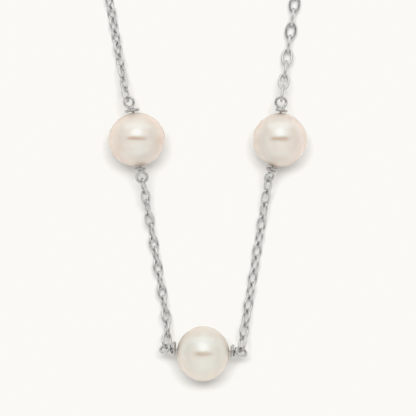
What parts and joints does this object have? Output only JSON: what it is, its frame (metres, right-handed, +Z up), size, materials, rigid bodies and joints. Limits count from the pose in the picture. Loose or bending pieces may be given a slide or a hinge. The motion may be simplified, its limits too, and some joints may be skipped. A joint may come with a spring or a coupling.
{
  "type": "station necklace",
  "caption": "Fine cable chain necklace with round pearls set between wire eyes, closed by a barrel clasp and laid flat.",
  "frame": {"origin": "under the middle of the necklace's box, on the surface it lies on", "axes": "+Z up from the surface, +Y from the lowest pearl to the clasp, +X to the wearer's left as the picture shows it"},
  "size_m": [0.0658, 0.2084, 0.0078],
  "materials": {
    "nacre": "pearl nacre, glossy and slightly pink",
    "plated_silver": "polished, rhodium-plated sterling silver"
  },
  "bodies": {
    "root": {"pearl_left": "nacre", "pearl_middle": "nacre", "pearl_right": "nacre", "wire_left": "plated_silver", "wire_middle": "plated_silver", "wire_right": "plated_silver", "chain_lower_left": "plated_silver", "chain_lower_right": "plated_silver", "chain_upper_left": "plated_silver", "chain_upper_right": "plated_silver", "clasp": "plated_silver"}
  },
  "joints": []
}
